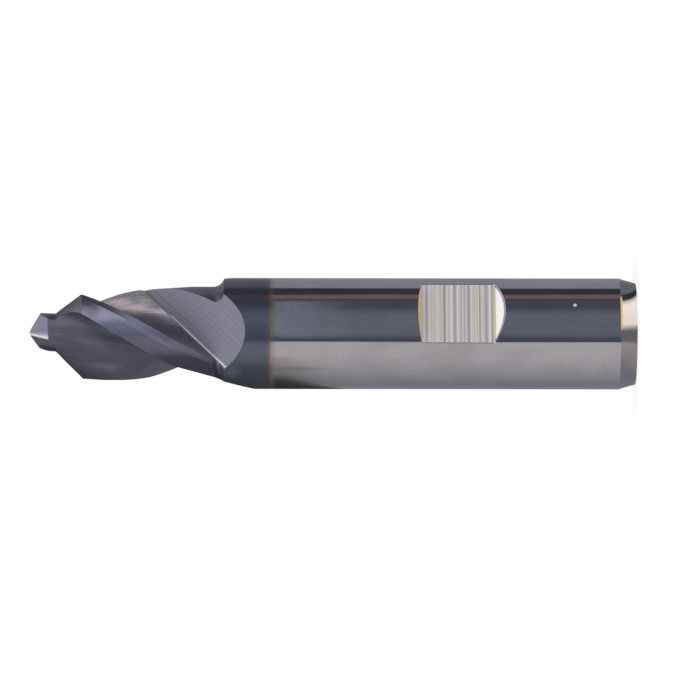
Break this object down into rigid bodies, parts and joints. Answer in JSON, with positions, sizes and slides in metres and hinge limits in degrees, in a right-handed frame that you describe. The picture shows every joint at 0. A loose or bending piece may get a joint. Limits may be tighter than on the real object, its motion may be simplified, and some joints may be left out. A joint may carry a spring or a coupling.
{
  "type": "step drill bit",
  "caption": "Solid step drill with helical flutes, a short pilot point, a chamfering step and a plain side-lock shank with a clamping flat.",
  "frame": {"origin": "centre of the flat rear face of the shank, on the drill's axis", "axes": "+Z along the axis from the shank to the point, so the drill stands on its shank; -Y is the outward normal of the clamping flat; +X completes the right-handed set"},
  "size_m": [0.014, 0.014, 0.0764],
  "materials": {
    "carbide": "ground, polished on the shank and coated grey on the head"
  },
  "bodies": {
    "root": {"step_drill": "carbide"}
  },
  "joints": []
}
